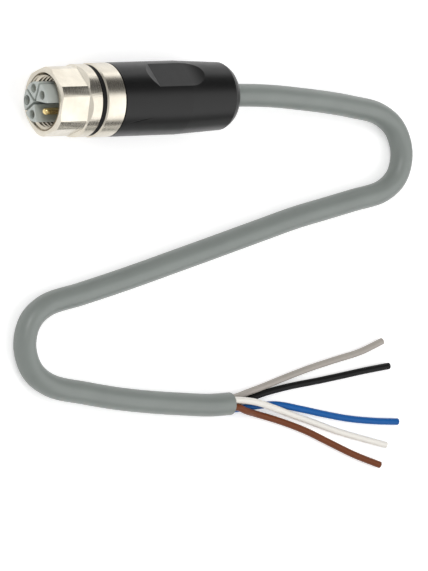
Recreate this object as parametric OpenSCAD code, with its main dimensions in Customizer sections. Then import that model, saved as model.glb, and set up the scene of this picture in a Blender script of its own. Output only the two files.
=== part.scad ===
// Round coaxial M12 sensor connector: female insert, screw collar with hex flats,
// moulded grip, round cable and five stripped cores. All sizes in millimetres.
// Axial positions run along +X from the collar's front face to the cable exit.

/* [Coupling nut] */
// length of the screw collar along the axis
nut_length = 10.3; // [8:0.1:14]
// nominal diameter of the M12 x 1 internal thread
thread_dia = 12.0; // [11.9:0.05:12.1]
// wall between the thread and each wrench flat
flat_wall = 1.0; // [0.8:0.05:1.4]
// how far the round corners stand out over the flats
corner_height = 0.5; // [0.2:0.05:0.8]
// step from the round corners up to the plain rear part
rear_step = 0.35; // [0.1:0.05:0.6]
// length of the wrench flats
flat_length = 7.1; // [5:0.1:7.6]
// run-out length behind each flat
flat_runout = 0.7; // [0.4:0.1:1.2]
// length of the thread relief in front of the neck
relief_length = 0.8; // [0.5:0.1:1.5]
// radial depth of the thread relief
relief_depth = 0.2; // [0.1:0.05:0.4]
// lead-in chamfer at the mouth
mouth_chamfer = 0.3; // [0.2:0.05:0.6]
// length of the chamfer that turns the front corners round
nut_front_chamfer = 0.3; // [0.2:0.05:0.6]
// length of the rear neck that turns on the sleeve
neck_length = 2.3; // [1.8:0.1:2.8]
// turn of the collar about the axis
nut_turn = 47.3; // [0:0.1:60]
// rounded-off edge at the rear of the collar
nut_rear_chamfer = 0.2; // [0.1:0.05:0.4]

/* [Shield sleeve] */
// width of the metal ring
ring_width = 5.0; // [3:0.1:8]
// edge chamfer of the metal ring
ring_chamfer = 0.3; // [0.1:0.05:0.5]
// wall of the spigot that carries the collar
spigot_wall = 0.43; // [0.35:0.01:0.48]
// radial step of the insert at the sleeve's front end
insert_step = 0.25; // [0.15:0.05:0.3]
// length of the tail under the grip
tail_length = 7.6; // [6:0.1:10]
// wall of the tail
tail_wall = 1.8; // [1.4:0.1:2.2]
// depth of the tail's grooves
tail_groove_depth = 0.6; // [0.3:0.1:0.8]
// width of each groove
tail_groove_width = 1.2; // [0.8:0.1:1.6]

/* [Lock ring] */
// width of the rubber ring behind the collar
lock_ring_width = 0.9; // [0.6:0.1:1.6]
// how far the rubber ring stays below the collar's rear part
lock_ring_inset = 0.25; // [0.1:0.05:0.5]

/* [Grip body] */
// length of the moulded grip
grip_length = 31.6; // [28:0.1:40]
// diameter of the grip
grip_dia = 16.0; // [15.4:0.1:18]
// length of the grip's straight part
grip_straight = 17.6; // [16:0.1:22]
// how much the radius narrows to the rear end
grip_taper = 0.6; // [0.2:0.05:1.2]
// length of the rear chamfer
grip_chamfer = 2.0; // [1:0.1:3]
// height of the rear chamfer
grip_chamfer_height = 1.5; // [0.6:0.1:2.2]
// depth of the flat recess
recess_depth = 0.75; // [0.4:0.05:1]
// distance from the front of the grip to the foot of the recess ramp
recess_start = 9.1; // [7:0.1:11]
// length of the front ramp of the recess
recess_ramp = 2.1; // [0.8:0.1:2.5]
// length of the recess floor
recess_length = 13.6; // [10:0.1:15]
// length of the hollow rise at the rear end of the recess
recess_rise = 3.8; // [2:0.1:5]
// turn of the recess about the axis
recess_turn = 49.5; // [0:0.5:90]

/* [Insert] */
// diameter of the contact insert
insert_dia = 8.7; // [8.4:0.05:8.8]
// how far the insert stands out of the collar
insert_out = 2.1; // [1.5:0.1:3]
// depth of the slots, from the insert's face
slot_depth = 7.1; // [6:0.1:7.2]
// width of the slots between the sectors
slot_width = 0.6; // [0.4:0.05:0.7]
// diameter of the gap at the centre
centre_gap = 1.2; // [0.8:0.1:1.4]
// how much deeper the gap at the centre goes than the slots
centre_extra = 0.3; // [0.2:0.05:0.5]
// diameter of the contact entry holes
entry_dia = 1.9; // [1.8:0.05:1.95]
// chamfer around the entry holes
entry_chamfer = 0.12; // [0.05:0.01:0.2]
// chamfer around the insert's face
face_chamfer = 0.2; // [0.1:0.02:0.3]
// depth of the entry holes
entry_depth = 1.6; // [1:0.1:2]
// wall between each contact and the outside of the insert
contact_wall = 0.4; // [0.3:0.05:0.6]
// thickness of the insert's flange behind the seal
flange_width = 0.8; // [0.6:0.05:1]
// radial height of the flange over the insert
flange_step = 1.0; // [0.9:0.05:1.1]
// width of the seal groove
seal_groove = 1.4; // [1.2:0.1:1.4]
// depth of the seal groove
seal_groove_depth = 0.25; // [0.1:0.05:0.3]
// length of the insert behind the flange
insert_tail = 5.2; // [4:0.1:7]
// turn of the open sector about the axis
key_turn = 136.75; // [120:0.25:150]

/* [Face seal] */
// radial height of the face seal
seal_height = 1.15; // [0.8:0.05:1.3]

/* [Contacts] */
// diameter of the contact pins that mate
pin_dia = 1.5; // [1.4:0.05:1.5]
// outside diameter of the socket contacts and of the contact tails
contact_dia = 2.0; // [2:0.05:2.1]
// radial play of a mating pin in a socket contact
socket_play = 0.02; // [0.01:0.01:0.05]
// depth of the socket bore
socket_depth = 7.5; // [6:0.1:9]
// distance of the pin's tip behind the insert's face
pin_setback = 0.6; // [0.2:0.1:1.5]
// radial height of the collar that holds the contact
contact_collar_step = 0.25; // [0.15:0.05:0.4]
// length of that collar
contact_collar = 1.5; // [0.8:0.1:2.5]
// length of the contact behind the insert
contact_tail = 5.0; // [3:0.1:7]

/* [Inner mould] */
// length of the inner mould
mould_length = 21.0; // [19:0.1:23]
// wall of the inner mould around the sheath
mould_wall = 1.1; // [0.8:0.1:2]
// length of the mould's narrowing part, from the end of the sleeve
mould_neck = 5.0; // [3:0.1:8]
// how deep the sheath sits in the mould
sheath_grip = 4.0; // [2:0.1:6]

/* [Cable] */
// diameter of the cable sheath
cable_dia = 5.0; // [4:0.1:5.4]
// diameter of each insulated core
core_dia = 1.5; // [1.2:0.05:1.5]

/* [Fits] */
// axial play of the collar at each end
nut_float = 0.2; // [0.1:0.05:0.4]
// radial play between collar and spigot
neck_clearance = 0.07; // [0.05:0.01:0.15]
// radial play of the seal in its groove
seal_clearance = 0.05; // [0:0.01:0.1]
// radial play of the cable in the grip
cable_clearance = 0.05; // [0.02:0.01:0.1]

/* [Hidden] */
fn_big = 96;
fn_mid = 48;
fn_small = 32;
eps = 1;

// axial positions, from the collar's front face
neck_front = nut_length - neck_length;
thread_depth = neck_front - relief_length;
flange_rear = neck_front - nut_float;
flange_front = flange_rear - flange_width;
groove_front = flange_front - seal_groove;
slot_floor = slot_depth - insert_out;
insert_rear = flange_rear + insert_tail;
lock_front = nut_length + nut_float;
ring_front = lock_front + lock_ring_width;
ring_rear = ring_front + ring_width;
tail_rear = ring_rear + tail_length;
grip_end = ring_rear + grip_length;
mould_rear = insert_rear + mould_length;
sheath_front = mould_rear - sheath_grip;
contact_rear = insert_rear + contact_tail;
socket_front = entry_depth - insert_out;
socket_floor = socket_front + socket_depth;
pin_tip = pin_setback - insert_out;

// radii and diameters that follow from each other
insert_r = insert_dia / 2;
nut_flats = thread_dia + 2 * flat_wall;
nut_front_dia = nut_flats + 2 * corner_height;
nut_rear_dia = nut_front_dia + 2 * rear_step;
mouth_dia = thread_dia + 2 * mouth_chamfer;
relief_dia = thread_dia + 2 * relief_depth;
sleeve_bore = insert_dia + 2 * insert_step;
spigot_dia = sleeve_bore + 2 * spigot_wall;
tail_dia = sleeve_bore + 2 * tail_wall;
tail_groove_dia = tail_dia - 2 * tail_groove_depth;
lock_ring_dia = nut_rear_dia - 2 * lock_ring_inset;
flange_dia = insert_dia + 2 * flange_step;
seal_groove_dia = insert_dia - 2 * seal_groove_depth;
socket_bore = pin_dia + 2 * socket_play;
contact_collar_dia = contact_dia + 2 * contact_collar_step;
mould_end_dia = cable_dia + 2 * mould_wall;
// the metal ring is flush with the grip
ring_dia = grip_dia;
grip_rear_dia = grip_dia - 2 * grip_taper;
grip_end_dia = grip_rear_dia - 2 * grip_chamfer_height;
pitch_dia = insert_dia - contact_dia - 2 * contact_wall;
neck_r = spigot_dia / 2 + neck_clearance;
grip_r = grip_dia / 2;
pitch_r = pitch_dia / 2;
core_r = core_dia / 2;
// cores lie in a ring inside the sheath, side by side
core_pitch = core_r / sin(36);
recess_h = grip_r - recess_depth;
groove_step = (tail_length - 2 * tail_groove_width) / 3;

// the whole connector lies on the ring and the grip
axis_height = max(ring_dia, grip_dia) / 2;
centre_x = (grip_end - insert_out) / 2;

// angles about the axis: index 0 is the open sector, then one sector each 72 degrees
function sector(i) = 90 + key_turn - 72 * i;

core_slant = atan((pitch_r - core_pitch) / (sheath_front - contact_rear));
core_gap = core_r * sin(core_slant) + 0.02;
core_run = (sheath_front - contact_rear - 2 * core_gap) / cos(core_slant);

// cable route, floor points at half the cable's height
cable_route = [
  [7, 0, 8], [16, 0, 8], [25, 0, 8], [30, 0, 8], [38, -0.4, 7.9], [46.5, -1.2, 7], [55, -2.1, 5.5],
  [63, -3.2, 3.9], [71.4, -5, 2.7], [75.7, -8.3, 2.5], [77.3, -13.5, 2.5], [75.7, -18.7, 2.5],
  [71.4, -22, 2.5], [63, -23.8, 2.5], [55, -25.4, 2.5], [46.5, -27.1, 2.5], [38, -29.2, 2.5],
  [30, -31.2, 2.5], [22, -33.2, 2.5], [13.5, -35.3, 2.5], [5, -37.4, 2.5], [-3, -39.3, 2.5],
  [-12, -41.3, 2.5], [-21.3, -43.4, 2.5], [-25.6, -46.7, 2.5], [-27.2, -52, 2.5],
  [-25.6, -57.1, 2.5], [-21.3, -60.4, 2.5], [-12, -62.6, 2.5], [-3, -64.3, 2.5], [5, -65.4, 2.5],
  [13.5, -66.3, 2.5], [20.5, -66.9, 2.5], [26.2, -66.9, 2.5]];
grey_route = [
  [26.2, -65.6, 2.1], [27.6, -65.6, 2.1], [32.3, -64.7, 1.1], [36.7, -63.7, 0.75], [43, -62, 0.75],
  [49.8, -60.3, 0.75], [57, -58.8, 0.75], [64, -57.4, 0.75], [70.4, -55.3, 0.75]];
black_route = [
  [26.2, -66.85, 1.2], [27.6, -66.85, 1.2], [32.3, -66.2, 0.8], [37, -65.1, 0.75], [44, -64, 0.75],
  [51.7, -63.2, 0.75], [58.5, -62.4, 0.75], [65, -61.6, 0.75], [71.9, -60.9, 0.75]];
white_route = [
  [26.2, -66.2, 3.6], [27.6, -66.2, 3.6], [32.7, -66.9, 3.2], [38, -68.4, 2.3], [43.8, -70.2, 1],
  [50, -72.3, 0.75], [56.5, -74.6, 0.75], [63, -76.5, 0.75], [69.9, -78.4, 0.75]];
blue_route = [
  [26.2, -68.15, 2.05], [27.6, -68.15, 2.05], [33, -67.9, 0.75], [40, -67.8, 0.75],
  [47, -69.2, 0.75], [53.5, -70.7, 0.75], [60, -72, 0.75], [67, -72.9, 0.75], [73.5, -73.4, 0.75]];
brown_route = [
  [26.2, -67.75, 3.55], [27.6, -67.8, 3.55], [30.2, -68.7, 2.9], [34, -69.5, 1.2],
  [40.6, -71.4, 0.75], [47.5, -73.9, 0.75], [54, -76.9, 0.75], [61, -80.1, 0.75],
  [67.9, -82.7, 0.75]];

// places a shape that is built along +Z, from the collar's face, on the connector's axis
module on_axis() {
  translate([-centre_x, 0, axis_height])
    rotate([0, 90, 0])
      children();
}

// a ring or stepped turning with points [radius, position]
module turned(points, fn = fn_big) {
  rotate_extrude($fn = fn)
    polygon(points);
}

// a straight hole from one position to another
module hole(r, a, b, fn = fn_small) {
  translate([0, 0, a])
    cylinder(h = b - a, r = r, $fn = fn);
}

// the screw collar, turned, with six milled flats
module coupling_nut() {
  color([0.80, 0.79, 0.74])
    on_axis()
      difference() {
        turned([
          [mouth_dia / 2, 0],
          [nut_flats / 2 - 0.1, 0],
          [nut_front_dia / 2, nut_front_chamfer],
          [nut_front_dia / 2, flat_length - 0.15],
          [nut_rear_dia / 2, flat_length + 0.1],
          [nut_rear_dia / 2, nut_length - nut_rear_chamfer],
          [nut_rear_dia / 2 - nut_rear_chamfer, nut_length],
          [neck_r, nut_length],
          [neck_r, neck_front],
          [relief_dia / 2, neck_front],
          [relief_dia / 2, thread_depth],
          [thread_dia / 2, thread_depth],
          [thread_dia / 2, (mouth_dia - thread_dia) / 2]]);
        for (k = [0:5])
          rotate([0, 0, 90 + nut_turn + 60 * k])
            flat_cutter();
      }
}

// what the mill takes off at one flat: flat floor and a sloping run-out
module flat_cutter() {
  slope = (nut_rear_dia - nut_flats) / 2 / flat_runout;
  rotate([90, 0, 0])
    linear_extrude(height = nut_rear_dia, center = true)
      polygon([
        [nut_flats / 2, -eps],
        [nut_flats / 2, flat_length],
        [nut_flats / 2 + 2 * slope, flat_length + 2],
        [nut_flats / 2 + 2 * slope, -eps]]);
}

// rubber ring between the collar and the metal ring
module lock_ring() {
  color([0.10, 0.10, 0.10])
    on_axis()
      difference() {
        hole(lock_ring_dia / 2, lock_front, ring_front, fn_big);
        hole(spigot_dia / 2, lock_front - eps, ring_front + eps, fn_big);
      }
}

// outline of the metal sleeve's tail, from the ring's rear face on
function tail_outline() = [
  [tail_dia / 2, ring_rear],
  [tail_dia / 2, ring_rear + groove_step],
  [tail_groove_dia / 2, ring_rear + groove_step],
  [tail_groove_dia / 2, ring_rear + groove_step + tail_groove_width],
  [tail_dia / 2, ring_rear + groove_step + tail_groove_width],
  [tail_dia / 2, ring_rear + 2 * groove_step + tail_groove_width],
  [tail_groove_dia / 2, ring_rear + 2 * groove_step + tail_groove_width],
  [tail_groove_dia / 2, ring_rear + 2 * groove_step + 2 * tail_groove_width],
  [tail_dia / 2, ring_rear + 2 * groove_step + 2 * tail_groove_width],
  [tail_dia / 2, tail_rear]];

// metal sleeve: spigot under the collar, ring, tail under the grip
module shield_sleeve() {
  color([0.78, 0.77, 0.73])
    on_axis()
      turned(concat([
        [sleeve_bore / 2, flange_rear],
        [spigot_dia / 2, flange_rear],
        [spigot_dia / 2, ring_front],
        [ring_dia / 2 - ring_chamfer, ring_front],
        [ring_dia / 2, ring_front + ring_chamfer],
        [ring_dia / 2, ring_rear - ring_chamfer],
        [ring_dia / 2 - ring_chamfer, ring_rear]],
        tail_outline(),
        [[sleeve_bore / 2, tail_rear]]));
}

// outline of the inner mould behind the sleeve
function mould_outline() = [
  [sleeve_bore / 2, tail_rear],
  [mould_end_dia / 2, tail_rear + mould_neck],
  [mould_end_dia / 2, mould_rear]];

// black moulded grip with its two flat recesses
module grip_body() {
  color([0.13, 0.13, 0.13])
    on_axis()
      difference() {
        turned([
          [0, ring_rear],
          [grip_r, ring_rear],
          [grip_r, ring_rear + grip_straight],
          [grip_rear_dia / 2, grip_end - grip_chamfer],
          [grip_rear_dia / 2 - 0.28 * grip_chamfer_height, grip_end - 0.6 * grip_chamfer],
          [grip_rear_dia / 2 - 0.62 * grip_chamfer_height, grip_end - 0.25 * grip_chamfer],
          [grip_end_dia / 2, grip_end],
          [0, grip_end]]);
        turned(concat(
          [[0, ring_rear - eps], [tail_dia / 2, ring_rear - eps]],
          tail_outline(),
          mould_outline(),
          [[0, mould_rear]]));
        hole(cable_dia / 2 + cable_clearance, mould_rear - eps, grip_end + eps, fn_mid);
        for (k = [0, 1])
          rotate([0, 0, 90 + recess_turn + 180 * k])
            recess_cutter();
      }
}

// one recess: sloping front, flat floor, hollow rise at the rear
module recess_cutter() {
  foot = ring_rear + recess_start;
  slope = recess_ramp / recess_depth;
  rise = foot + recess_length - recess_rise;
  // the hollow meets the floor at a small angle, its lowest line 0.5 in front
  lead = 0.5;
  rise_h = (recess_rise * (recess_rise + 2 * lead) + recess_depth * recess_depth)
    / 2 / recess_depth;
  rotate([90, 0, 0]) {
    linear_extrude(height = grip_dia, center = true)
      polygon([
        [recess_h, foot],
        [recess_h, rise - lead],
        [recess_h + 2, rise - lead],
        [recess_h + 2, foot - 2 * slope]]);
    translate([recess_h + rise_h, rise - lead, 0])
      cylinder(r = sqrt(rise_h * rise_h + lead * lead), h = grip_dia, center = true,
        $fn = fn_big);
  }
}

// insulating insert: four slotted sectors with entry holes, one open sector with the pin
module contact_carrier() {
  // slots begin inside the gap at the centre
  slot_start = centre_gap * 0.3;
  // the open sector takes in the slots on both its sides
  open_back = slot_width / 2 / sin(36);
  color([0.74, 0.78, 0.76])
    on_axis()
      difference() {
        union() {
          turned([
            [0, -insert_out],
            [insert_r - face_chamfer, -insert_out],
            [insert_r, face_chamfer - insert_out],
            [insert_r, groove_front],
            [seal_groove_dia / 2, groove_front],
            [seal_groove_dia / 2, flange_front],
            [flange_dia / 2, flange_front],
            [flange_dia / 2, flange_rear],
            [sleeve_bore / 2, flange_rear],
            [sleeve_bore / 2, insert_rear],
            [0, insert_rear]]);
        }
        hole(centre_gap / 2, -insert_out - eps, slot_floor + centre_extra);
        for (i = [2:4])
          rotate([0, 0, sector(i) + 36])
            translate([slot_start, -slot_width / 2, -insert_out - eps])
              cube([insert_dia, slot_width, slot_depth + eps]);
        rotate([0, 0, sector(0)])
          translate([0, 0, -insert_out - eps])
            linear_extrude(height = slot_depth + eps)
              polygon([
                [-open_back, 0],
                [insert_dia, -(insert_dia + open_back) * tan(36)],
                [insert_dia, (insert_dia + open_back) * tan(36)]]);
        for (i = [1:4])
          rotate([0, 0, sector(i)])
            translate([pitch_r, 0, 0]) {
              hole(entry_dia / 2, -insert_out - eps, socket_front + eps / 2);
              translate([0, 0, -insert_out])
                cylinder(h = entry_chamfer, r1 = entry_dia / 2 + entry_chamfer, r2 = entry_dia / 2,
                  $fn = fn_small);
              hole(contact_dia / 2, socket_front, insert_rear + eps);
            }
        rotate([0, 0, sector(0)])
          translate([pitch_r, 0, 0])
            hole(contact_dia / 2, slot_floor - eps, insert_rear + eps);
      }
}

// rubber ring in the groove of the insert
module face_seal() {
  inner = seal_groove_dia / 2 + seal_clearance;
  outer = inner + seal_height;
  edge = seal_groove * 0.25;
  color([0.12, 0.12, 0.12])
    on_axis()
      turned([
        [inner, groove_front + seal_clearance + edge],
        [inner, flange_front - seal_clearance - edge],
        [inner + edge, flange_front - seal_clearance],
        [outer - edge, flange_front - seal_clearance],
        [outer, flange_front - seal_clearance - edge],
        [outer, groove_front + seal_clearance + edge],
        [outer - edge, groove_front + seal_clearance],
        [inner + edge, groove_front + seal_clearance]]);
}

// one female contact in sector i
module socket_contact(i) {
  color([0.80, 0.62, 0.25])
    on_axis()
      rotate([0, 0, sector(i)])
        translate([pitch_r, 0, 0])
          turned([
            [socket_bore / 2, socket_front],
            [contact_dia / 2, socket_front],
            [contact_dia / 2, insert_rear],
            [contact_collar_dia / 2, insert_rear],
            [contact_collar_dia / 2, insert_rear + contact_collar],
            [contact_dia / 2, insert_rear + contact_collar],
            [contact_dia / 2, contact_rear],
            [0, contact_rear],
            [0, socket_floor],
            [socket_bore / 2, socket_floor]], fn_small);
}

// the male contact in the open sector, with a rounded tip
module pin_contact() {
  color([0.80, 0.62, 0.25])
    on_axis()
      rotate([0, 0, sector(0)])
        translate([pitch_r, 0, 0])
          rotate_extrude($fn = fn_small) {
            intersection() {
              translate([0, pin_tip + pin_dia / 2])
                circle(r = pin_dia / 2, $fn = fn_small);
              translate([0, pin_tip])
                square([pin_dia, pin_dia / 2]);
            }
            polygon([
              [0, pin_tip + pin_dia / 2],
              [pin_dia / 2, pin_tip + pin_dia / 2],
              [pin_dia / 2, slot_floor],
              [contact_dia / 2, slot_floor],
              [contact_dia / 2, insert_rear],
              [contact_collar_dia / 2, insert_rear],
              [contact_collar_dia / 2, insert_rear + contact_collar],
              [contact_dia / 2, insert_rear + contact_collar],
              [contact_dia / 2, contact_rear],
              [0, contact_rear]]);
          }
}

// the slanted run of one core, from its contact to the sheath
module core_stub(i, r, extra = 0) {
  on_axis()
    core_run_at(i, r, extra);
}

module core_run_at(i, r, extra) {
  rotate([0, 0, sector(i)])
    translate([pitch_r, 0, contact_rear + core_gap])
      rotate([0, -core_slant, 0])
        translate([0, 0, -extra])
          cylinder(h = core_run + 2 * extra, r = r, $fn = fn_small);
}

// inner mould that holds contacts, cores and the sheath's end
module inner_mould() {
  color([0.30, 0.30, 0.29])
    on_axis()
      difference() {
        turned(concat([
          [0, insert_rear],
          [sleeve_bore / 2, insert_rear]],
          mould_outline(),
          [[0, mould_rear]]));
        for (i = [0:4]) {
          rotate([0, 0, sector(i)])
            translate([pitch_r, 0, 0]) {
              hole(contact_dia / 2, insert_rear - eps, contact_rear);
              hole(contact_collar_dia / 2, insert_rear - eps, insert_rear + contact_collar);
            }
          core_run_at(i, core_r, core_gap * 2);
        }
        hole(cable_dia / 2, sheath_front, mould_rear + eps, fn_mid);
      }
}

function unit(v) = v / norm(v);

// direction of the route at point i
function heading(p, i) =
  unit(p[min(i + 1, len(p) - 1)] - p[max(i - 1, 0)]);

// one ring of a tube: n points at radius r around point i
function tube_ring(p, i, r, n) =
  let (t = heading(p, i), u = unit(cross(t, [0, 0, 1])), v = cross(u, t))
  [for (k = [0:n - 1]) p[i] + r * (cos(360 * k / n) * u + sin(360 * k / n) * v)];

function tube_points(p, r, n) =
  [for (i = [0:len(p) - 1]) each tube_ring(p, i, r, n)];

function tube_faces(m, n) = concat(
  [[for (k = [n - 1:-1:0]) k]],
  [for (i = [0:m - 2], k = [0:n - 1])
    [i * n + k, i * n + (k + 1) % n, (i + 1) * n + (k + 1) % n, (i + 1) * n + k]],
  [[for (k = [0:n - 1]) (m - 1) * n + k]]);

module tube(p, d, n) {
  polyhedron(points = tube_points(p, d / 2, n), faces = tube_faces(len(p), n), convexity = 6);
}

module cable_sheath() {
  color([0.54, 0.56, 0.545])
    tube(cable_route, cable_dia, 12);
}

// one core: its run inside the connector and its free end
module core(i, route, tint) {
  color(tint) {
    core_stub(i, core_r);
    tube(route, core_dia, 8);
  }
}

grip_body();
shield_sleeve();
coupling_nut();
lock_ring();
contact_carrier();
face_seal();
pin_contact();
socket_contact(1);  // socket_contact_1
socket_contact(2);  // socket_contact_2
socket_contact(3);  // socket_contact_3
socket_contact(4);  // socket_contact_4
inner_mould();
cable_sheath();
core(1, brown_route, [0.49, 0.27, 0.16]);  // brown_wire
core(2, white_route, [0.92, 0.90, 0.87]);  // white_wire
core(3, blue_route, [0.12, 0.39, 0.67]);  // blue_wire
core(4, black_route, [0.10, 0.10, 0.10]);  // black_wire
core(0, grey_route, [0.70, 0.68, 0.66]);  // grey_wire
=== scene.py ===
"""Looks of the round M12 sensor connector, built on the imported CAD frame."""
import math

import bpy
import bmesh
from mathutils import Matrix, Vector


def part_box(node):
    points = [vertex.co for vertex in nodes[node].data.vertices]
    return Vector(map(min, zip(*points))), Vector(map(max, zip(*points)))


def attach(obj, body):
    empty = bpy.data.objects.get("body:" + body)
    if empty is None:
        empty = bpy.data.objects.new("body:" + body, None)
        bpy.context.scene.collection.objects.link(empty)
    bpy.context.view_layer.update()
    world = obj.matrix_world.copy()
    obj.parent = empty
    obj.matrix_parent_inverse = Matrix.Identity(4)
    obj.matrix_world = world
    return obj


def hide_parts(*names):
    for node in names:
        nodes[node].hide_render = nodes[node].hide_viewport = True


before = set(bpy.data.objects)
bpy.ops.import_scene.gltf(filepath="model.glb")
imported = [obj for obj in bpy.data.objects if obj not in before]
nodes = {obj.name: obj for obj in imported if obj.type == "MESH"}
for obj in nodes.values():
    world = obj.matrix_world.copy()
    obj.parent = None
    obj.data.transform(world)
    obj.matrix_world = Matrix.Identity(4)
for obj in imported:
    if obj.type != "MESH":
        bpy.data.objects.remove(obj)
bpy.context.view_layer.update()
MM = 0.001

# The collar's front face, the axis and the cable's exit, read from the CAD nodes.
grip_lo, grip_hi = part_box("grip_body")
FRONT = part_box("coupling_nut")[0][0]
AXIS_Z = (grip_lo[2] + grip_hi[2]) / 2
EXIT = (grip_hi[0], 0.0, AXIS_Z)

CABLE_DIA = 5 * MM
CORE_DIA = 1.5 * MM
# How far the drawn cable reaches into the grip.
CABLE_INSIDE = 3 * MM


def add_object(name, data):
    """A new object in the scene that shows this mesh, curve, lamp or camera."""
    obj = bpy.data.objects.new(name, data)
    bpy.context.collection.objects.link(obj)
    return obj


# ---------------------------------------------------------------- camera
# In metres, the lens in mm. BACK is the way from the part to the camera.
CAMERA_AT = (-0.825, -0.0410, 1.156)
CAMERA_BACK = (-0.5926, 0.0, 0.8055)
CAMERA_RIGHT = (0.80435, -0.05338, 0.59175)
CAMERA_LENS = 414.9


def make_camera():
    """A long lens, looking down on the connector along a slanting line."""
    back = Vector(CAMERA_BACK)
    up = back.cross(Vector(CAMERA_RIGHT)).normalized()
    back.normalize()
    right = up.cross(back)
    cam = bpy.data.cameras.new("camera")
    cam.lens = CAMERA_LENS
    cam.sensor_width = 36
    cam.clip_end = 10
    obj = add_object("camera", cam)
    turn = Matrix((right, up, back)).transposed().to_4x4()
    obj.matrix_world = Matrix.Translation(CAMERA_AT) @ turn
    bpy.context.scene.camera = obj


make_camera()


# ---------------------------------------------------------------- routes
# The same points as in the CAD source, in metres.
CABLE = [
    (0.007, 0, 0.008), (0.016, 0, 0.008), (0.025, 0, 0.008), (0.03, 0, 0.008),
    (0.038, -0.0004, 0.0079), (0.0465, -0.0012, 0.007), (0.055, -0.0021, 0.0055),
    (0.063, -0.0032, 0.0039), (0.0714, -0.005, 0.0027), (0.0757, -0.0083, 0.0025),
    (0.0773, -0.0135, 0.0025), (0.0757, -0.0187, 0.0025), (0.0714, -0.022, 0.0025),
    (0.063, -0.0238, 0.0025), (0.055, -0.0254, 0.0025), (0.0465, -0.0271, 0.0025),
    (0.038, -0.0292, 0.0025), (0.03, -0.0312, 0.0025), (0.022, -0.0332, 0.0025),
    (0.0135, -0.0353, 0.0025), (0.005, -0.0374, 0.0025), (-0.003, -0.0393, 0.0025),
    (-0.012, -0.0413, 0.0025), (-0.0213, -0.0434, 0.0025), (-0.0256, -0.0467, 0.0025),
    (-0.0272, -0.052, 0.0025), (-0.0256, -0.0571, 0.0025), (-0.0213, -0.0604, 0.0025),
    (-0.012, -0.0626, 0.0025), (-0.003, -0.0643, 0.0025), (0.005, -0.0654, 0.0025),
    (0.0135, -0.0663, 0.0025), (0.0205, -0.0669, 0.0025), (0.0262, -0.0669, 0.0025)]
CORES = {
    "grey": [
        (0.0262, -0.0656, 0.0021), (0.0276, -0.0656, 0.0021), (0.0323, -0.0647, 0.0011),
        (0.0367, -0.0637, 0.00075), (0.043, -0.062, 0.00075), (0.0498, -0.0603, 0.00075),
        (0.057, -0.0588, 0.00075), (0.064, -0.0574, 0.00075), (0.0704, -0.0553, 0.00075)],
    "black": [
        (0.0262, -0.06685, 0.0012), (0.0276, -0.06685, 0.0012), (0.0323, -0.0662, 0.0008),
        (0.037, -0.0651, 0.00075), (0.044, -0.064, 0.00075), (0.0517, -0.0632, 0.00075),
        (0.0585, -0.0624, 0.00075), (0.065, -0.0616, 0.00075), (0.0719, -0.0609, 0.00075)],
    "white": [
        (0.0262, -0.0662, 0.0036), (0.0276, -0.0662, 0.0036), (0.0327, -0.0669, 0.0032),
        (0.038, -0.0684, 0.0023), (0.0438, -0.0702, 0.001), (0.05, -0.0723, 0.00075),
        (0.0565, -0.0746, 0.00075), (0.063, -0.0765, 0.00075), (0.0699, -0.0784, 0.00075)],
    "blue": [
        (0.0262, -0.06815, 0.00205), (0.0276, -0.06815, 0.00205), (0.033, -0.0679, 0.00075),
        (0.04, -0.0678, 0.00075), (0.047, -0.0692, 0.00075), (0.0535, -0.0707, 0.00075),
        (0.06, -0.072, 0.00075), (0.067, -0.0729, 0.00075), (0.0735, -0.0734, 0.00075)],
    "brown": [
        (0.0262, -0.06775, 0.00355), (0.0276, -0.0678, 0.00355), (0.0302, -0.0687, 0.0029),
        (0.034, -0.0695, 0.0012), (0.0406, -0.0714, 0.00075), (0.0475, -0.0739, 0.00075),
        (0.054, -0.0769, 0.00075), (0.061, -0.0801, 0.00075), (0.0679, -0.0827, 0.00075)]}


def smooth_route(points, per=6):
    """A centripetal Catmull-Rom line through the points."""
    p = [Vector(q) for q in points]
    p = [2 * p[0] - p[1]] + p + [2 * p[-1] - p[-2]]
    out = []
    for i in range(1, len(p) - 2):
        a, b, c, d = p[i - 1:i + 3]
        t0 = 0.0
        t1 = t0 + (b - a).length ** 0.5
        t2 = t1 + (c - b).length ** 0.5
        t3 = t2 + (d - c).length ** 0.5
        for k in range(per):
            t = t1 + (t2 - t1) * k / per
            a1 = a * (t1 - t) / (t1 - t0) + b * (t - t0) / (t1 - t0)
            a2 = b * (t2 - t) / (t2 - t1) + c * (t - t1) / (t2 - t1)
            a3 = c * (t3 - t) / (t3 - t2) + d * (t - t2) / (t3 - t2)
            b1 = a1 * (t2 - t) / (t2 - t0) + a2 * (t - t0) / (t2 - t0)
            b2 = a2 * (t3 - t) / (t3 - t1) + a3 * (t - t1) / (t3 - t1)
            out.append(b1 * (t2 - t) / (t2 - t1) + b2 * (t - t1) / (t2 - t1))
    out.append(Vector(points[-1]))
    return out


def trimmed(points, x_from):
    """The route from x_from on. Its stretch before that runs along +X."""
    i = next(k for k, p in enumerate(points) if p.x > x_from)
    a, b = points[i - 1:i + 1]
    return [a.lerp(b, (x_from - a.x) / (b.x - a.x))] + points[i:]


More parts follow.
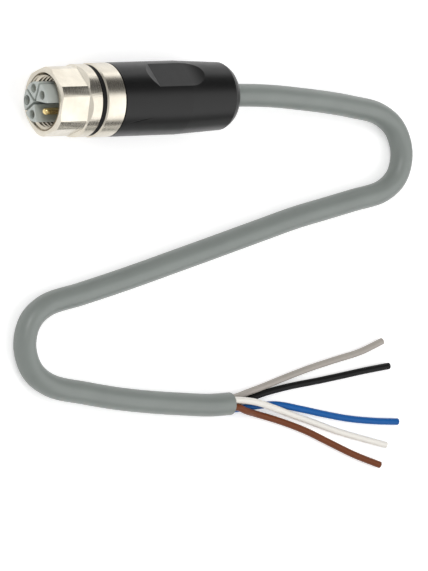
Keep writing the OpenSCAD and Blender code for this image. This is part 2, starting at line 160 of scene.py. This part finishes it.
# ---------------------------------------------------------------- materials
class Mat:
    """A small helper around one node tree."""

    def __init__(self, name):
        self.m = bpy.data.materials.new(name)
        self.m.use_nodes = True
        self.t = self.m.node_tree
        self.b = self.t.nodes["Principled BSDF"]

    def node(self, kind, **props):
        n = self.t.nodes.new(kind)
        for k, v in props.items():
            setattr(n, k, v)
        return n

    def link(self, a, b):
        self.t.links.new(a, b)

    def set(self, **values):
        for k, v in values.items():
            self.b.inputs[k.replace("_", " ")].default_value = v

    def coords(self, scale):
        """Object coordinates, times a scale for each axis."""
        tc = self.node("ShaderNodeTexCoord")
        mp = self.node("ShaderNodeMapping")
        mp.inputs["Scale"].default_value = scale
        self.link(tc.outputs["Object"], mp.inputs["Vector"])
        return mp.outputs["Vector"]

    def noise(self, scale, detail=2.0, rough=0.5, vector=(1, 1, 1)):
        n = self.node("ShaderNodeTexNoise")
        n.inputs["Scale"].default_value = scale
        n.inputs["Detail"].default_value = detail
        n.inputs["Roughness"].default_value = rough
        self.link(self.coords(vector), n.inputs["Vector"])
        return n.outputs["Fac"]

    def colours(self, fac, dark, light):
        """The base colour, between two linear colours."""
        r = self.node("ShaderNodeValToRGB")
        for stop, at, colour in zip(r.color_ramp.elements, (0.3, 0.7), (dark, light)):
            stop.position = at
            stop.color = (*colour, 1)
        self.link(fac, r.inputs["Fac"])
        self.link(r.outputs["Color"], self.b.inputs["Base Color"])

    def range(self, value, lo, hi, start=0.0, end=1.0):
        """Runs from lo to hi while the value runs from start to end."""
        n = self.node("ShaderNodeMapRange")
        for key, v in (("From Min", start), ("From Max", end), ("To Min", lo), ("To Max", hi)):
            n.inputs[key].default_value = v
        self.link(value, n.inputs["Value"])
        return n.outputs["Result"]

    def calc(self, kind, *values):
        """One math node on numbers or sockets."""
        n = self.node("ShaderNodeMath", operation=kind)
        for sock, v in zip(n.inputs, values):
            if isinstance(v, (int, float)):
                sock.default_value = v
            else:
                self.link(v, sock)
        return n.outputs[0]

    def bump(self, height, strength, distance):
        n = self.node("ShaderNodeBump")
        n.inputs["Strength"].default_value = strength
        n.inputs["Distance"].default_value = distance
        self.link(height, n.inputs["Height"])
        self.link(n.outputs["Normal"], self.b.inputs["Normal"])


def srgb(r, g, b):
    """A colour as written on a screen, made linear."""
    def lin(c):
        c /= 255
        return c / 12.92 if c <= 0.04045 else ((c + 0.055) / 1.055) ** 2.4
    return (lin(r), lin(g), lin(b))


def plastic(name, rgb, rough, vary=0.08, shine=0.5):
    """Moulded or extruded plastic with a fine surface grain."""
    m = Mat(name)
    m.set(Specular_IOR_Level=shine)
    base = srgb(*rgb)
    dark = tuple(c * (1 - vary) for c in base)
    light = tuple(min(1, c * (1 + vary)) for c in base)
    m.colours(m.noise(160, 4), dark, light)
    m.link(m.range(m.noise(700, 3), rough - 0.05, rough + 0.06), m.b.inputs["Roughness"])
    m.bump(m.noise(9000, 2), 0.3, 0.01 * MM)
    return m


def metal(name, dark, light, scale, detail):
    """Bare metal with a faintly uneven colour."""
    m = Mat(name)
    m.set(Metallic=1.0)
    m.colours(m.noise(scale, detail), srgb(*dark), srgb(*light))
    return m


def turned_metal(name, dark, light, scale, detail, rings, rough, strength, distance):
    """Plated metal over turned brass, with fine rings around the axis."""
    m = metal(name, dark, light, scale, detail)
    marks = m.noise(1, 3, 0.7, vector=rings)
    m.link(m.range(marks, *rough), m.b.inputs["Roughness"])
    m.bump(marks, strength, distance)
    return m


def nickel(name, dark, light):
    return turned_metal(name, dark, light, scale=220, detail=4, rings=(14000, 60, 60),
                        rough=(0.18, 0.34), strength=0.25, distance=0.012 * MM)


def gold():
    return turned_metal("gold_plate", (232, 203, 136), (246, 224, 166), scale=300, detail=3,
                        rings=(9000, 200, 200), rough=(0.14, 0.3), strength=0.2,
                        distance=0.01 * MM)


def tinned_copper():
    m = metal("tinned_copper", (150, 140, 128), (196, 176, 154), scale=2500, detail=2)
    m.link(m.range(m.noise(3000, 2), 0.35, 0.5), m.b.inputs["Roughness"])
    return m


GRIP_SHINE = 0.29
MATS = {
    "nickel": nickel("nickel_plate", (197, 190, 176), (216, 210, 197)),
    "thread": nickel("nickel_thread", (192, 184, 168), (210, 202, 187)),
    "grip": plastic("grip_plastic", (18, 18, 18), 0.34, shine=GRIP_SHINE),
    "rubber": plastic("black_rubber", (12, 12, 12), 0.6, shine=0.25),
    "carrier": plastic("carrier_plastic", (191, 197, 192), 0.38, vary=0.03),
    "mould": plastic("inner_plastic", (90, 90, 88), 0.5),
    "sheath": plastic("sheath_pvc", (133, 139, 135), 0.38, vary=0.04),
    "grey": plastic("core_grey", (171, 164, 156), 0.42, vary=0.03),
    "black": plastic("core_black", (5, 5, 5), 0.5, vary=0.05, shine=0.22),
    "white": plastic("core_white", (244, 240, 232), 0.42, vary=0.02),
    "blue": plastic("core_blue", (0, 90, 164), 0.46, vary=0.05, shine=0.25),
    "brown": plastic("core_brown", (114, 58, 24), 0.46, vary=0.05, shine=0.25),
    "gold": gold(),
    "copper": tinned_copper(),
}


def crease_depth(m):
    """1 along the crease, 0 beside it and past its ends. It sets the notch, the duller skin
    and the painted shade.
    """
    # in mm along the axis: where t is 0, the t of the line's middle, and how far from
    # the middle the line begins to fade and is gone
    zero, middle, fades, gone = -4.55, 2.5, 1.2, 3.2
    # the line's angle about the axis where t is 0, its turn for each mm behind that,
    # and how the turn slows with each mm
    first_angle, turn, slowing = 2.318, 0.0367, 0.00182
    # how far off the line, as an angle, the mark is still full and is gone
    inner, outer = 0.004, 0.022
    axes = m.node("ShaderNodeSeparateXYZ")
    m.link(m.coords((1 / MM, 1 / MM, 1 / MM)), axes.inputs[0])
    height = m.calc("SUBTRACT", axes.outputs["Z"], AXIS_Z / MM)
    angle = m.calc("ARCTAN2", height, axes.outputs["Y"])
    t = m.calc("SUBTRACT", axes.outputs["X"], zero)
    bend = m.calc("MULTIPLY", t, m.calc("SUBTRACT", m.calc("MULTIPLY", t, slowing), turn))
    off = m.calc("ABSOLUTE", m.calc("SUBTRACT", angle, m.calc("ADD", bend, first_angle)))
    mark = m.range(off, 1, 0, inner, outer)
    ends = m.calc("ABSOLUTE", m.calc("SUBTRACT", t, middle))
    return m.calc("MULTIPLY", mark, m.range(ends, 1, 0, fades, gone))


def crease():
    """The faint slanting line in the grip's skin behind the metal ring: a real notch with a
    duller skin, plus painted shade that darkens the colour along it.
    """
    # the share of the colour that goes to painted shade, the part of the shine that goes, and
    # the notch
    painted_shade, dulling, strength, sunk = 0.95, 0.285, 0.8, 0.08 * MM
    m = MATS["grip"]
    depth = crease_depth(m)
    # a mix node's colours are its inputs 6 and 7 and its output 2
    mix = m.node("ShaderNodeMix", data_type="RGBA")
    m.link(m.calc("MULTIPLY", depth, painted_shade), mix.inputs[0])
    m.link(m.b.inputs["Base Color"].links[0].from_socket, mix.inputs[6])
    # near black: the colour of the painted shade along the crease
    mix.inputs[7].default_value = (0.0005, 0.0005, 0.0005, 1)
    m.link(mix.outputs[2], m.b.inputs["Base Color"])
    m.link(m.calc("SUBTRACT", GRIP_SHINE, m.calc("MULTIPLY", depth, dulling)),
           m.b.inputs["Specular IOR Level"])
    grain = m.b.inputs["Normal"].links[0].from_node
    notch = m.node("ShaderNodeBump", invert=True)
    notch.inputs["Strength"].default_value = strength
    notch.inputs["Distance"].default_value = sunk
    m.link(depth, notch.inputs["Height"])
    m.link(notch.outputs["Normal"], grain.inputs["Normal"])


crease()

NODE_MATS = {
    "grip_body": "grip", "shield_sleeve": "nickel", "coupling_nut": "nickel",
    "lock_ring": "rubber", "contact_carrier": "carrier", "face_seal": "rubber",
    "inner_mould": "mould", "pin_contact": "gold",
    **{f"socket_contact_{i}": "gold" for i in range(1, 5)}}
for node, key in NODE_MATS.items():
    for slot in nodes[node].material_slots:
        slot.material = MATS[key].m


# ---------------------------------------------------------------- edges
def whole_faces(node):
    """A copy of a CAD node's mesh, with the triangles of each flat face as one face."""
    mesh = nodes[node].data.copy()
    mesh.name = f"{node}_soft"
    bm = bmesh.new()
    bm.from_mesh(mesh)
    bmesh.ops.remove_doubles(bm, verts=bm.verts, dist=0.002 * MM)
    bmesh.ops.dissolve_limit(bm, angle_limit=math.radians(0.6), verts=bm.verts, edges=bm.edges)
    bm.to_mesh(mesh)
    bm.free()
    return mesh


def softened(node, body, key, width, segments, edge_angle, sharp_angle):
    """A copy of a CAD node with its sharp edges rounded off a little."""
    mesh = whole_faces(node)
    mesh.materials.clear()
    mesh.materials.append(MATS[key].m)
    for poly in mesh.polygons:
        poly.material_index = 0
        poly.use_smooth = True
    obj = add_object(f"{node}_finished", mesh)
    bevel = obj.modifiers.new("edge", "BEVEL")
    bevel.width = width
    bevel.segments = segments
    bevel.limit_method = "ANGLE"
    bevel.angle_limit = math.radians(edge_angle)
    bevel.harden_normals = True
    bevel.use_clamp_overlap = True
    mesh.set_sharp_from_angle(angle=math.radians(sharp_angle))
    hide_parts(node)
    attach(obj, body)


softened("contact_carrier", "body", "carrier", width=0.12 * MM, segments=3,
         edge_angle=32, sharp_angle=40)
softened("coupling_nut", "nut", "nickel", width=0.06 * MM, segments=2,
         edge_angle=16, sharp_angle=16)


# ---------------------------------------------------------------- thread
def ridge_mesh():
    """One closed ridge that winds along the collar's bore."""
    # all in mm: the bore's radius, the ridge's smallest radius and its pitch
    bore, crest, pitch = 6.0, 5.46, 1.0
    # the chamfer at the mouth, and where the turns begin and end behind the front
    lead, begin, end = 0.3, 0.02, 7.2
    # the ridge's foot, sunk a little into the wall, and half its width there and at the crest
    foot, foot_half, crest_half = bore + 0.02, 0.44, 0.125
    ridge = [(-foot_half, foot), (-crest_half, crest), (crest_half, crest), (foot_half, foot)]
    steps = 72
    count = int((end / pitch + 1) * steps)
    verts, faces = [], []
    for k in range(count + 1):
        a = 2 * math.pi * k / steps
        x0 = -pitch / 2 + pitch * k / steps
        for dx, r in ridge:
            x = min(max(x0 + dx, begin), end)
            r = max(r, min(foot, bore + lead - x))
            verts.append(((FRONT / MM + x) * MM, r * math.cos(a) * MM,
                          AXIS_Z + r * math.sin(a) * MM))
    across = len(ridge)
    for k in range(count):
        for j in range(across - 1):
            a = across * k + j
            faces.append((a, a + 1, a + across + 1, a + across))
    last = across * count
    faces += [(0, 3, 2, 1), (last, last + 1, last + 2, last + 3)]
    mesh = bpy.data.meshes.new("thread_turns")
    mesh.from_pydata(verts, [], faces)
    mesh.validate()
    bm = bmesh.new()
    bm.from_mesh(mesh)
    bmesh.ops.recalc_face_normals(bm, faces=bm.faces)
    bm.to_mesh(mesh)
    bm.free()
    return mesh


def thread_ridge():
    """The M12 x 1 thread's turns, standing in from the collar's bore."""
    mesh = ridge_mesh()
    for poly in mesh.polygons:
        poly.use_smooth = True
    mesh.set_sharp_from_angle(angle=math.radians(35))
    mesh.materials.append(MATS["thread"].m)
    obj = add_object("thread_turns", mesh)
    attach(obj, "nut")


thread_ridge()


# ---------------------------------------------------------------- cords
def cord_curve(name, points, diameter, key, resolution):
    """A round cord as one open spline with a bevel."""
    curve = bpy.data.curves.new(name, "CURVE")
    curve.dimensions = "3D"
    curve.bevel_depth = diameter / 2
    curve.bevel_resolution = resolution
    curve.use_fill_caps = True
    spline = curve.splines.new("POLY")
    spline.points.add(len(points) - 1)
    for p, q in zip(spline.points, points):
        p.co = (*q, 1)
    spline.use_smooth = True
    curve.materials.append(MATS[key].m)
    return add_object(name, curve)


cable_line = smooth_route(CABLE)
cable_line = trimmed(cable_line, EXIT[0] - CABLE_INSIDE)
cable = cord_curve("cable_jacket", cable_line, CABLE_DIA, "sheath", resolution=10)
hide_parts("cable_sheath")
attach(cable, "body")


def strands(name, end, along):
    """The cut face of the stranded conductor at a core's end."""
    radius, length, proud = 0.13 * MM, 0.6 * MM, 0.06 * MM
    apart = 2.05 * radius
    spots = [(0, 0)] + [(apart * math.cos(a), apart * math.sin(a))
                        for a in (k * math.pi / 3 for k in range(6))]
    bm = bmesh.new()
    for x, y in spots:
        bmesh.ops.create_cone(bm, cap_ends=True, segments=10, radius1=radius,
                              radius2=radius * 0.9, depth=length,
                              matrix=Matrix.Translation((x, y, 0)))
    mesh = bpy.data.meshes.new(name)
    bm.to_mesh(mesh)
    bm.free()
    mesh.materials.append(MATS["copper"].m)
    obj = add_object(name, mesh)
    place = Matrix.Translation(end - along * (length / 2 - proud))
    obj.matrix_world = place @ along.to_track_quat("Z", "Y").to_matrix().to_4x4()
    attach(obj, "body")
    return obj


# How far the insulation is cut back from the route's end.
CUT_BACK = 0.08 * MM

for colour, points in CORES.items():
    line = smooth_route(points)
    line[-1] = line[-1] - (line[-1] - line[-2]).normalized() * CUT_BACK
    core = cord_curve(f"{colour}_core", line, CORE_DIA, colour, resolution=6)
    copper = strands(f"{colour}_strands", line[-1], (line[-1] - line[-2]).normalized())
    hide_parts(f"{colour}_wire")
    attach(core, "body")


# ---------------------------------------------------------------- stage and light
FLOOR_HALF = 3.0
FLOOR_GREY = 0.86
# The glow that the paper has wherever the camera, metal or glass shows it.
FLOOR_LIFT = 0.45


def make_floor():
    """Pale paper that looks white to the camera, in the metal and through glass."""
    mesh = bpy.data.meshes.new("floor")
    s = FLOOR_HALF
    mesh.from_pydata([(-s, -s, 0), (s, -s, 0), (s, s, 0), (-s, s, 0)], [], [(0, 1, 2, 3)])
    obj = add_object("floor", mesh)
    m = Mat("floor_paper")
    m.set(Base_Color=(FLOOR_GREY, FLOOR_GREY, FLOOR_GREY, 1), Roughness=0.9)
    path = m.node("ShaderNodeLightPath")
    mirrored = m.calc("MAXIMUM", path.outputs["Is Glossy Ray"],
                      path.outputs["Is Transmission Ray"])
    seen = m.calc("MAXIMUM", path.outputs["Is Camera Ray"], mirrored)
    m.set(Emission_Color=(1, 1, 1, 1))
    m.link(m.calc("MULTIPLY", seen, FLOOR_LIFT), m.b.inputs["Emission Strength"])
    mesh.materials.append(m.m)


KEY_AT = (-0.35, 0.45, 0.75)
KEY_AIM = (0, -0.03, 0)
KEY_SIZE = 0.35
KEY_POWER = 2.2


def make_lamp():
    """The one lamp: a square, soft key light."""
    light = bpy.data.lights.new("key", "AREA")
    light.energy = KEY_POWER
    light.size = KEY_SIZE
    obj = add_object("key", light)
    obj.location = KEY_AT
    way = Vector(KEY_AIM) - Vector(KEY_AT)
    obj.rotation_euler = way.to_track_quat("-Z", "Y").to_euler()


WORLD_GREY = 0.5
# Each soft part's direction, the cosines at its edge and its even core, its grey level.
LOBES = [
    ((0.55, 0.83, 0.02), 0.92, 0.975, 1.9),
    ((0.05, 0.95, 0.31), 0.92, 0.98, 0.10),
    ((0.59, -0.26, 0.75), 0.76, 0.93, 1.75),
    ((0.59, -0.62, 0.52), 0.90, 0.985, 1.85),
    ((0.59, 0.56, 0.58), 0.87, 0.97, 0.09),
    ((0.59, -0.81, 0.0), 0.93, 0.985, 0.0),
    ((-0.87, -0.36, 0.34), 0.85, 0.96, 0.95)]


def lobe_share(tree, coords, way, edge, core):
    """How far a direction lies in one soft part of the world, from 0 to 1."""
    dot = tree.nodes.new("ShaderNodeVectorMath")
    dot.operation = "DOT_PRODUCT"
    dot.inputs[1].default_value = Vector(way).normalized()
    tree.links.new(coords.outputs["Generated"], dot.inputs[0])
    part = tree.nodes.new("ShaderNodeMapRange")
    part.interpolation_type = "SMOOTHSTEP"
    part.inputs["From Min"].default_value = edge
    part.inputs["From Max"].default_value = core
    tree.links.new(dot.outputs["Value"], part.inputs["Value"])
    return part.outputs["Result"]


def make_world():
    """A grey studio with soft lighter and darker parts, which the metal mirrors."""
    world = bpy.data.worlds.new("world")
    bpy.context.scene.world = world
    world.use_nodes = True
    tree = world.node_tree
    back = tree.nodes["Background"]
    coords = tree.nodes.new("ShaderNodeTexCoord")
    level = None
    for way, edge, core, grey in LOBES:
        # a mix node's numbers are its inputs 2 and 3 and its output 0
        mix = tree.nodes.new("ShaderNodeMix")
        mix.inputs[2].default_value = WORLD_GREY
        mix.inputs[3].default_value = grey
        tree.links.new(lobe_share(tree, coords, way, edge, core), mix.inputs[0])
        if level is not None:
            tree.links.new(level, mix.inputs[2])
        level = mix.outputs[0]
    tree.links.new(level, back.inputs["Color"])
    back.inputs["Strength"].default_value = 1.0


make_floor()
make_world()
make_lamp()

scene = bpy.context.scene
scene.view_settings.view_transform = "Standard"
